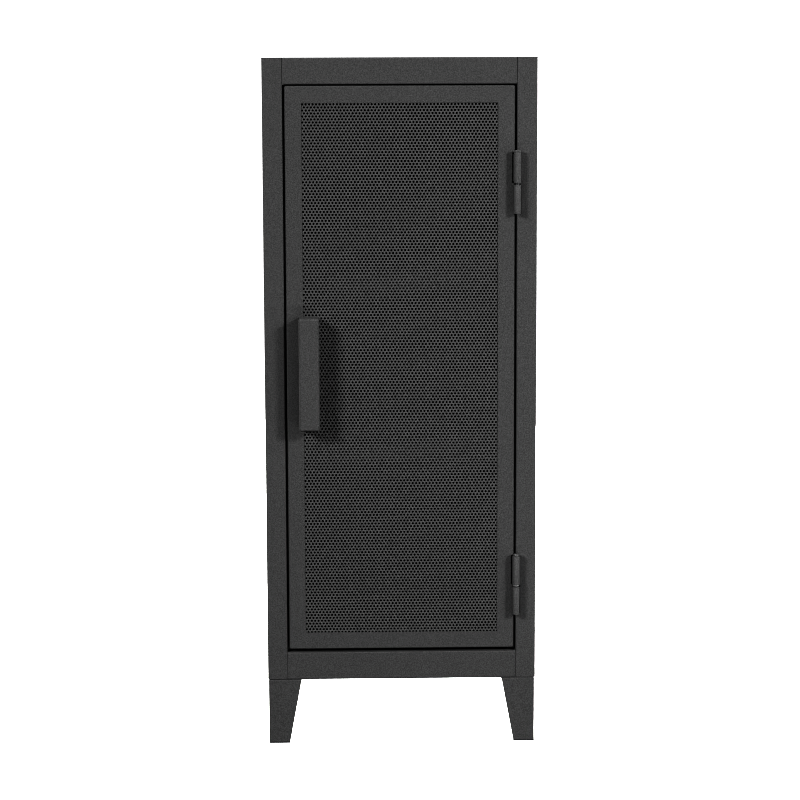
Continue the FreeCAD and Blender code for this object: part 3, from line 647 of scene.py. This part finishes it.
def ring_surface(radii, heights, centre, along="z"):
    """Rings of (radius cos t, radius sin t, height) in millimetres about a centre, joined by quads.

    A first or last ring of no radius is a pole, and the quads next to it become triangles.
    """
    count = len(heights)
    radii = np.broadcast_to(np.reshape(np.array(radii, float), (count, -1)), (count, AROUND))
    across, sideways = radii * np.cos(TURN_ANGLES), radii * np.sin(TURN_ANGLES)
    up = np.broadcast_to(np.array(heights, float)[:, None], radii.shape)
    axes = (across, sideways, up) if along == "z" else (across, up, -sideways)
    quads = ring_quads(np.stack(axes, axis=-1) * MM + np.array(centre))
    first, last = int(not radii[0].any()), len(quads) - int(not radii[-1].any())
    soups = [quads[first:last].reshape(-1, 4, 3)]
    if first:
        soups.append(quads[0][:, [0, 2, 3]])
    if last < len(quads):
        soups.append(quads[-1][:, [0, 1, 2]])
    return soups


def turned(profile, centre, along="z"):
    """A profile turned about an axis: a list of rings, each a radius or radii and a height."""
    radii, heights = zip(*profile)
    return ring_surface(radii, heights, centre, along)


# %% Carry an outline


def rounded_box(low, high, radius):
    """Outline of a rectangle with rounded corners, anticlockwise, as (points, 2)."""
    corners = [(high[0], low[1], 1, -1, -90), (high[0], high[1], 1, 1, 0)]
    corners += [(low[0], high[1], -1, 1, 90), (low[0], low[1], -1, -1, 180)]
    arcs = [arc((x - a * radius, z - b * radius), radius, turn, turn + 90) for x, z, a, b, turn in corners]
    return np.concatenate(arcs)


def prism(outline, axis, low, high):
    """An outline carried along an axis, seen anticlockwise from that axis's far end."""
    near, far = (np.insert(outline, axis, level, axis=1) for level in (low, high))
    return [ring_quads(np.stack([near, far])).reshape(-1, 4, 3), far[None], near[::-1][None]]


# %% [markdown]
# ## Hinges
#
# Each hinge lifts off: the lower knuckle stays on the cabinet with the pin, and the upper knuckle sits
# over the pin on the door. A flat leaf runs from each knuckle back through a slot in the sheet, where
# it is welded out of sight. The barrels are rounded at their ends, and the cabinet's barrel ends a
# little lower than the door's begins, which leaves the dark split between them.

# %% Knuckles
KNUCKLE_RADIUS = 5.25
END_ROUND = 1.0
SPLIT_ROUND = 0.25
SPLIT = 1.4
BORE_RADIUS = 3.1
BORE_DEPTH = 35.0
LEAF_THICKNESS = 1.25 * MM
LEAF_HALF = 20.0 * MM
LEAF_CORNER = 1.5 * MM


def barrel(height, bore_on_top):
    """Half section of a knuckle: rounded ends, and a blind bore from the end that faces the split."""
    low, high = (END_ROUND if bore_on_top else SPLIT_ROUND), SPLIT_ROUND
    outside = arc((KNUCKLE_RADIUS - low, low), low, -90, 0)
    outside += arc((KNUCKLE_RADIUS - high, height - high), high, 0, 90)
    if bore_on_top:
        bore_end = height - BORE_DEPTH
        return [(0, 0)] + outside + [(BORE_RADIUS, height), (BORE_RADIUS, bore_end), (0, bore_end)]
    return [(0, BORE_DEPTH), (BORE_RADIUS, BORE_DEPTH), (BORE_RADIUS, 0)] + outside + [(0, height)]


def hinge_axis(hinge):
    """The pin's axis as x and y, from the pin's box."""
    low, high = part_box(f"{hinge}_pin")
    return (low.x + high.x) / 2, (low.y + high.y) / 2


def knuckle(hinge, node, body, side):
    """A barrel about the pin, and its leaf on the side of the cabinet, 1, or of the door, -1."""
    x, y = hinge_axis(hinge)
    low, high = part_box(node)
    on_frame = side > 0
    profile = barrel((high.z - low.z) / MM - SPLIT * on_frame, bore_on_top=on_frame)
    middle = (low.z + high.z) / 2
    face = x + side * KNUCKLE_RADIUS * MM
    ends = sorted([face, face - side * LEAF_THICKNESS])
    outline = rounded_box((y, middle - LEAF_HALF), (high.y, middle + LEAF_HALF), LEAF_CORNER)
    soups = turned(profile, (x, y, low.z)) + prism(outline, 0, *ends)
    make_piece(f"{node}_rolled", soups, body, hinge_coat_painted_light, [node])


for hinge in ("hinge_upper", "hinge_lower"):
    knuckle(hinge, f"{hinge}_frame_knuckle", "cabinet", 1)
    knuckle(hinge, f"{hinge}_door_knuckle", "door", -1)

# %% [markdown]
# The two hinges differ in their small parts. The upper one has a plain cap with a rounded rim and a
# plastic washer. The lower one has a domed cap on a narrow neck, whose shoulder catches the light,
# and a pale ring over a plastic slide. The ring's pale paint is its own lighter tone and also a painted
# highlight, in place of the shine of steel.

# %% Caps and washers
CAP_HEIGHT = 4.0
UPPER_CAP_RADIUS = 5.1
CAP_FOOT_ROUND = 0.2
CAP_RIM_ROUND = 1.0
NECK_RADIUS = 3.9
NECK_HEIGHT = 0.7
SHOULDER = 0.5
DOME = 2.2
DOME_END = 84
EDGE_BREAK = 0.1
WASHER_TOP = 1.5
WASHER_RADIUS = 3.7
SLIDE_TOP = 0.4
SLIDE_RADIUS = 3.4
PALE_RING_RADIUS = 4.5


def ring(radius, low, high):
    """Half section of a flat ring round the pin, with its outer edges broken."""
    inset = radius - EDGE_BREAK
    outer = [(inset, low), (radius, low + EDGE_BREAK), (radius, high - EDGE_BREAK), (inset, high)]
    return [(BORE_RADIUS, low)] + outer + [(BORE_RADIUS, high), (BORE_RADIUS, low)]


def plain_cap():
    """Half section of a disc: a small round at its foot and a larger one at its rim."""
    foot = arc((UPPER_CAP_RADIUS - CAP_FOOT_ROUND, CAP_FOOT_ROUND), CAP_FOOT_ROUND, -90, 0)
    rim = arc((UPPER_CAP_RADIUS - CAP_RIM_ROUND, CAP_HEIGHT - CAP_RIM_ROUND), CAP_RIM_ROUND, 0, 90)
    return [(0, 0)] + foot + rim + [(0, CAP_HEIGHT)]


def domed_cap():
    """Half section of a neck, a shoulder that curves out from it, and a dome above."""
    shoulder = arc((NECK_RADIUS, NECK_HEIGHT + SHOULDER), SHOULDER, -90, 0)
    dome = arc((NECK_RADIUS + SHOULDER - DOME, CAP_HEIGHT - DOME), DOME, 0, DOME_END, count=10)
    return [(0, 0), (NECK_RADIUS, 0)] + shoulder + dome + [(0, CAP_HEIGHT)]


def on_hinge(hinge, part, kind, profile, body, finish):
    """A part that is turned about the hinge's pin, on the height of the node that it stands for."""
    node = f"{hinge}_{part}"
    soups = turned(profile, (*hinge_axis(hinge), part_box(node)[0].z))
    make_piece(f"{node}{kind}_turned", soups, body, finish, [node])


plastic = finish_of["black_plastic"]
cap_paint = smooth_paint("paint_on_cap", tone=0.06, gloss=0.4)
# The ring's pale paint is its own lighter tone and a painted highlight in place of the steel's shine.
ring_finish_with_painted_highlight = smooth_paint("paint_on_ring", tone=0.22, gloss=0.1)
upper_washer = ring(WASHER_RADIUS, -SPLIT, WASHER_TOP)
slide = ring(SLIDE_RADIUS, -SPLIT, SLIDE_TOP)
pale_ring = ring(PALE_RING_RADIUS, SLIDE_TOP, WASHER_TOP)
on_hinge("hinge_upper", "cap", "", plain_cap(), "door", hinge_coat_painted_light)
on_hinge("hinge_lower", "cap", "", domed_cap(), "door", cap_paint)
on_hinge("hinge_upper", "washer", "", upper_washer, "cabinet", plastic)
on_hinge("hinge_lower", "washer", "_slide", slide, "cabinet", plastic)
on_hinge("hinge_lower", "washer", "_steel", pale_ring, "cabinet", ring_finish_with_painted_highlight)

# %% [markdown]
# The slot that a leaf goes through is wider than the leaf. At the upper hinge the cabinet's slot was
# filled before spraying, so that only a shallow step shows there: a thin bar in the slot's open part.

# %% Filled slot
SLOT_GAP = 1.7 * MM
SLOT_HALF = 22.0 * MM
SLOT_PLAY = 0.05 * MM
SLOT_CORNER = 0.25 * MM
SLOT_STEP = 0.25 * MM
SLOT_DEPTH = 0.95 * MM

knuckle_low, knuckle_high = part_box("hinge_upper_frame_knuckle")
slot_middle = (knuckle_low.z + knuckle_high.z) / 2
slot_side = hinge_axis("hinge_upper")[0] + KNUCKLE_RADIUS * MM
slot_low = (slot_side + SLOT_PLAY, slot_middle - SLOT_HALF + SLOT_PLAY)
slot_high = (slot_side + SLOT_GAP - SLOT_PLAY, slot_middle + SLOT_HALF - SLOT_PLAY)
slot_outline = rounded_box(slot_low, slot_high, SLOT_CORNER)[::-1]
soups = prism(slot_outline, 1, wall_low.y + SLOT_STEP, wall_low.y + SLOT_DEPTH)
make_piece("hinge_upper_slot_fill", soups, "cabinet", anthracite)

# %% [markdown]
# ## Bolts and nuts
#
# The legs hang on hexagon bolts. A bolt head is a hexagon whose corners have been turned off by a cone,
# so on each ring the radius is the smaller of the hexagon's and the cone's. A nut has a cone at both
# ends and a bore.

# %% Bolts and nuts of the legs
BOLT_RUNS = (15.0 * MM, 34.0 * MM)
BOLT_BASE = 92.0 * MM
NUT_BASE = 99.0 * MM
HEXAGON = 5.5
CONE_RADIUS = 4.6
CONE_HEIGHT = 0.8
HEAD_HEIGHT = 4.0
SHANK = 3.0
BOLT_LENGTH = 13.5
BOLT_TIP = 0.5
NUT_BORE = 3.05
NUT_HEIGHT = 5.0


def hexagon_rings(height, cone_on_top):
    """Rings of a hexagon block as (radii, height), with a cone at its foot and, if asked, at its top.

    A hexagon's radius is that of its flats, divided by the cosine of the angle from the nearest flat.
    """
    from_flat = np.mod(TURN_ANGLES, np.pi / 3) - np.pi / 6
    hexagon = HEXAGON * np.cos(np.pi / 6) / np.cos(from_flat)
    steps = np.linspace(0.0, 1.0, 5)
    cone = [(np.minimum(hexagon, CONE_RADIUS + step), CONE_HEIGHT * step) for step in steps]
    upper_cone = [(radii, height - level) for radii, level in cone[::-1]]
    return cone + (upper_cone if cone_on_top else [(hexagon, height)])


def level_rings(*pairs):
    """Round rings as (radii, height) pairs that can be joined to hexagon rings."""
    return [(np.full(AROUND, float(radius)), height) for radius, height in pairs]


leg_low, leg_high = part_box("leg_front_left")[0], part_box("leg_rear_right")[1]
bolt_places = [
    (x_corner + a * run, y_corner + b * run)
    for x_corner, a in ((leg_low.x, 1), (leg_high.x, -1))
    for y_corner, b in ((leg_low.y, 1), (leg_high.y, -1))
    for run in BOLT_RUNS
]
bolt = level_rings((0, 0)) + hexagon_rings(HEAD_HEIGHT, cone_on_top=False)
bolt += level_rings((SHANK, HEAD_HEIGHT), (SHANK, BOLT_LENGTH - BOLT_TIP))
bolt += level_rings((SHANK - BOLT_TIP, BOLT_LENGTH), (0, BOLT_LENGTH))
nut = level_rings((NUT_BORE, 0)) + hexagon_rings(NUT_HEIGHT, cone_on_top=True)
nut += level_rings((NUT_BORE, NUT_HEIGHT), (NUT_BORE, 0))
for node, rings, base in (("leg_bolts", bolt, BOLT_BASE), ("leg_nuts", nut, NUT_BASE)):
    slot = slot_of[node]
    soups = [soup for x, y in bolt_places for soup in turned(rings, (x, y, base))]
    make_piece(f"{node}_hexagon", soups, "cabinet", finish_of[slot], [node], crease=25.0)

# %% [markdown]
# ## Screws, rivets and bumpers
#
# The catch is held by two screws with a cross recess, the strike plate by two domed rivets, and the door
# closes on two rubber discs. All three come in pairs with their axes from front to back, so each is one
# profile that is turned twice. The recess is a ring whose radius has four peaks.

# %% Small fasteners in pairs
SCREW_SEAT = -148.5 * MM
RIVET_SEAT = -165.5 * MM
BUMPER_SEAT = -162.5 * MM
SCREW_RADIUS = 1.5
SCREW_LENGTH = 13.5
SCREW_TIP = 0.7
SCREW_TIP_RADIUS = 1.0
HEAD_RADIUS = 2.8
HEAD_DEPTH = 1.8
HEAD_WALL = 0.5
HEAD_ROUND = 1.2
RECESS_RIM = 1.78
RECESS_FLOOR = 0.9
RECESS_TIP = 0.7
RECESS_TAPER = 0.8
CROSS_CORE = 0.45
CROSS_ARM = 0.95
RIVET_ROUND = 1.4
RIVET_GRIP = 2.2
BUMPER_RADIUS = 5.0
BUMPER_ROUND = 0.7
BUMPER_CROWN = [(0, -1.8), (2.0, -1.75), (3.6, -1.5)]

cross = CROSS_CORE + CROSS_ARM * np.abs(np.cos(2 * TURN_ANGLES)) ** 6
screw = level_rings((0, -SCREW_LENGTH), (SCREW_TIP_RADIUS, -SCREW_LENGTH))
screw += level_rings((SCREW_RADIUS, SCREW_TIP - SCREW_LENGTH), (SCREW_RADIUS, 0), (HEAD_RADIUS, 0))
screw += level_rings(*arc((HEAD_RADIUS - HEAD_ROUND, HEAD_WALL), HEAD_ROUND, 0, 80, count=6))
screw += [(cross, RECESS_RIM), (RECESS_TAPER * cross, RECESS_FLOOR)] + level_rings((0, RECESS_TIP))
rivet_dome = arc((HEAD_RADIUS - RIVET_ROUND, RIVET_ROUND - HEAD_DEPTH), RIVET_ROUND, -90, 0, count=6)
rivet = level_rings((0, -HEAD_DEPTH), *rivet_dome, (HEAD_RADIUS, 0), (SCREW_RADIUS, 0))
rivet += level_rings((SCREW_RADIUS, RIVET_GRIP), (0, RIVET_GRIP))
bumper_rim = arc((BUMPER_RADIUS - BUMPER_ROUND, -BUMPER_ROUND), BUMPER_ROUND, -60, 0, count=4)
bumper = level_rings(*BUMPER_CROWN, *bumper_rim, (BUMPER_RADIUS, 0), (0, 0))


def in_pairs(node, rings, base):
    """The same turned part at a node's lowest and highest end, about an axis along y."""
    low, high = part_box(node)
    radius = (high.x - low.x) / 2
    x = (low.x + high.x) / 2
    centres = [(x, base, z) for z in (low.z + radius, high.z - radius)]
    return [soup for centre in centres for soup in turned(rings, centre, "y")]


for node, rings, base, body in (
    ("catch_screws", screw, SCREW_SEAT, "cabinet"),
    ("strike_rivets", rivet, RIVET_SEAT, "door"),
    ("door_bumpers", bumper, BUMPER_SEAT, "cabinet"),
):
    soups = in_pairs(node, rings, base)
    make_piece(f"{node}_turned", soups, body, finish_of[slot_of[node]], [node])

# %% [markdown]
# ## Filled seams
#
# Where the rails meet the stiles, the joint was filled and sprayed over. What still shows is a thin line
# that sinks a little deeper here and there. Each filling is a strip that lies flush with the face
# and carries a groove whose depth wanders along its length.

# %% Seams between rails and stiles
RAIL_END = 170.2
BEND = 2.0
SEAM_STEPS = 61
SEAM_TOP = 1018.0
SEAM_BOTTOM = 99.3
SEAM_PLAY = 0.3
SLOW_WAVE = 1.9
FAST_WAVE = 4.3
LEAST_GROOVE = 0.4
SEAM_ACROSS = np.array([-0.6, 0.0, 0.05, 0.1, 0.65, 0.75, 2.35, 2.35, -0.6])
SEAM_DEPTH = np.array([0.05, 0.006, 0.006, 0.006, 0.006, 0.006, 0.006, 1.2, 1.2])
SEAM_GROOVE = np.array([0.0, 0.0, 0.0, 1.0, 1.0, 0.0, 0.0, 0.0, 0.0])


def seam_fill(side, low, high, opening):
    """A section carried up along a seam, with a groove whose depth wanders as the sum of two waves.

    The section is a list of points across the seam, each at a depth under the face. Near the opening
    the whole section sinks back with the rail's bend, along a quarter circle.
    """
    z = np.linspace(low, high, SEAM_STEPS)
    wander = 0.5 + 0.3 * np.sin(SLOW_WAVE * z + side) + 0.2 * np.sin(FAST_WAVE * z + 2.0)
    groove = LEAST_GROOVE + (1 - LEAST_GROOVE) * wander
    bend = np.clip(BEND - np.abs(z - opening), 0.0, BEND)
    sunk = BEND - np.sqrt(BEND**2 - bend**2)
    depth = SEAM_DEPTH + SEAM_GROOVE * groove[:, None] + sunk[:, None]
    x = np.broadcast_to(side * (RAIL_END + SEAM_ACROSS), depth.shape)
    height = np.broadcast_to(z[:, None], depth.shape)
    rings = np.stack([x * MM, wall_low.y + depth * MM, height * MM], axis=-1)[:, ::side]
    return [ring_quads(rings).reshape(-1, 4, 3), rings[-1][None], rings[0][::-1][None]]


opening_low, opening_high = floor_level / MM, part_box("top_panel")[0].z / MM
for side, name in ((-1, "left"), (1, "right")):
    for end, low, high, opening in (
        ("top", opening_high + SEAM_PLAY, SEAM_TOP, opening_high),
        ("bottom", SEAM_BOTTOM, opening_low - SEAM_PLAY, opening_low),
    ):
        soups = seam_fill(side, low, high, opening)
        make_piece(f"seam_fill_{end}_{name}", soups, "cabinet", anthracite)

# %% [markdown]
# In one corner of the opening the welder left a small fillet between the stile and the top rail. It is a
# prism: two straight sides along the sheets, and a hollow quarter circle between them.

# %% Corner fillet
OPENING_HALF = 170.6
FILLET = 2.6
FILLET_ROOT = 0.5
FILLET_STEP = 0.25 * MM
FILLET_BACK = 1.2 * MM


def corner_fillet():
    """Outline in x and z of a corner that is closed by a hollow arc, clockwise from the front."""
    x, z = -OPENING_HALF, opening_high
    hollow = arc((x + FILLET, z - FILLET), FILLET, 90, 180, count=9)
    left, top = x - FILLET_ROOT, z + FILLET_ROOT
    return np.array([(left, hollow[-1][1]), (left, top), (hollow[0][0], top)] + hollow) * MM


soups = prism(corner_fillet(), 1, wall_low.y + FILLET_STEP, wall_low.y + FILLET_BACK)
make_piece("corner_fillet", soups, "cabinet", anthracite)

# %% [markdown]
# ## Floor
#
# The locker stands on a pale floor that sweeps up into a wall all round. It glows, so it is an even
# white, and it is hidden from the light that bounces between surfaces, so it doesn't wash out the locker.

# %% Floor
FLOOR_RADIUS = 9.0
SWEEP_RADIUS = 3.0
WALL_HEIGHT = 9.0
DISC_RADIUS = 1.0
FLOOR_SIDES = 96
SWEEP_STEPS = 17


def floor_bowl():
    """A profile turned about the vertical: a disc, then a quarter circle, then a wall.

    The disc's inner part is a fan of triangles about the centre.
    """
    bend = np.linspace(0, np.pi / 2, SWEEP_STEPS)
    sweep = FLOOR_RADIUS + SWEEP_RADIUS * np.sin(bend)
    radius = np.concatenate([[DISC_RADIUS], sweep, [FLOOR_RADIUS + SWEEP_RADIUS]])
    height = np.concatenate([[0.0], SWEEP_RADIUS * (1 - np.cos(bend)), [WALL_HEIGHT]])
    turn = np.linspace(0, 2 * np.pi, FLOOR_SIDES + 1)[:-1]
    circle = np.stack([np.cos(turn), np.sin(turn), np.ones(FLOOR_SIDES)], axis=1)
    rings = np.stack([radius, radius, height], axis=1)[:, None] * circle
    middle = np.stack([np.zeros((FLOOR_SIDES, 3)), rings[0], np.roll(rings[0], -1, axis=0)], axis=1)
    return [ring_quads(rings[::-1]).reshape(-1, 4, 3), middle]


points, corner_vertex, counts = weld(floor_bowl())
floor_mesh = bpy.data.meshes.new("floor")
floor_mesh.from_pydata(points, [], np.split(corner_vertex, np.cumsum(counts)[:-1]))
floor_mesh.shade_smooth()
floor = bpy.data.objects.new("floor", floor_mesh)
bpy.context.scene.collection.objects.link(floor)
glow = {"Emission_Color": grey(1.0), "Emission_Strength": 1.0}
paper = Finish("pale_floor", Base_Color=grey(0.8), Roughness=0.9, **glow)
floor_mesh.materials.append(paper.material)
floor.visible_diffuse = False
floor.visible_glossy = False
print("floor", len(counts), "faces")

# %% [markdown]
# ## Light
#
# Two soft boxes do most of the work: a large one high on the left and a small one on the right. Each
# throws its own shadow of the handle and of the hinges across the door. Three weak lights lift what
# would fall too dark: the right stile, the lower right and the bottom rail. The lights at the sides,
# above and behind are for the views from there. Those at the sides and behind stand low, because from
# higher up they would glare on the roof at a flat angle.
#
# The view's gamma of 0.5 squares the picture's values, which makes the shadows deep, and the lamps are
# strong to make up for it. A narrow pixel filter and raw guides for the denoiser keep the holes crisp.

# %% Lights
AIM = Vector((-0.05, -0.18, 0.56))


def soft_box(name, side, away, up, width, height, power):
    """A rectangular light that faces the middle of the locker: metres for place and size, and watts."""
    light = bpy.data.lights.new(name, "AREA")
    light.shape = "RECTANGLE"
    light.size = width
    light.size_y = height
    light.energy = power
    lamp = bpy.data.objects.new(name, light)
    lamp.location = (side, away, up)
    lamp.rotation_euler = (AIM - lamp.location).to_track_quat("-Z", "Y").to_euler()
    bpy.context.scene.collection.objects.link(lamp)
    print(name, power, "watts")


# After the name: the place to the side, away and up, then width and height, then the power.
soft_box("soft_box_left", -3.77, -4.34, 3.0, 1.5, 1.2, 835.0)
soft_box("soft_box_right", 2.6, -2.9, 2.0, 0.5, 0.45, 242.0)
soft_box("soft_box_right_low", 1.95, -2.28, 1.2, 0.8, 0.7, 14.0)
soft_box("floor_bounce", 0.15, -1.1, 0.2, 0.6, 0.2, 6.5)
soft_box("strip_light_right", 1.2, -0.9, 0.6, 0.4, 1.4, 15.0)
soft_box("side_light_right", 2.6, 1.6, 0.5, 1.6, 0.9, 270.0)
soft_box("side_light_left", -2.6, 1.6, 0.5, 1.6, 0.9, 270.0)
soft_box("overhead_light", 0.0, -0.35, 3.0, 1.6, 0.5, 65.0)
soft_box("soft_box_back", 0.6, 3.0, 0.52, 1.8, 0.9, 220.0)

# %% Surroundings and tone
AMBIENT = 0.02
VIEW_GAMMA = 0.5
PIXEL_FILTER = 1.0

scene = bpy.context.scene
scene.world = bpy.data.worlds.new("studio")
scene.world.use_nodes = True
background = scene.world.node_tree.nodes["Background"]
background.inputs["Color"].default_value = grey(1.0)
background.inputs["Strength"].default_value = AMBIENT
scene.view_settings.view_transform = "Standard"
scene.view_settings.gamma = VIEW_GAMMA
scene.cycles.filter_width = PIXEL_FILTER
scene.cycles.denoising_prefilter = "NONE"
print("ambient", AMBIENT, "gamma", VIEW_GAMMA)

# %% [markdown]
# ## Camera
#
# The camera has a long lens. It stands nearly as high as the locker's top and a little to the left,
# and looks slightly down. An aim at one point would leave out the small roll, so its three turns are
# given one after the other.

# %% Camera
LENS = 105.0
SENSOR = 36.0
CAMERA_SIDE = -79.9 * MM
CAMERA_AWAY = 3409.0 * MM
CAMERA_UP = 991.5 * MM
cabinet_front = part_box("side_panel_left")[0][1]
TILT_DOWN, TURN, ROLL = np.radians([7.8795, -1.311, -0.377])


def camera_axes():
    """Rows: the camera's right, down and forward, in right, down and away from the locker's front.

    The three turns follow each other about the axes right, down and forward.
    """
    about_right = Matrix.Rotation(TILT_DOWN, 3, "X")
    about_down = Matrix.Rotation(TURN, 3, "Y")
    about_forward = Matrix.Rotation(ROLL, 3, "Z")
    return about_forward @ about_down @ about_right


right, down, forward = [Vector((row[0], row[2], -row[1])) for row in camera_axes()]
looking = Matrix((right, -down, -forward)).transposed().to_4x4()
lens = bpy.data.cameras.new("camera")
lens.lens = LENS
lens.sensor_width = SENSOR
camera = bpy.data.objects.new("camera", lens)
camera.matrix_world = Matrix.Translation((CAMERA_SIDE, cabinet_front - CAMERA_AWAY, CAMERA_UP)) @ looking
scene.collection.objects.link(camera)
scene.camera = camera
print("camera looks along", [round(c, 3) for c in forward])
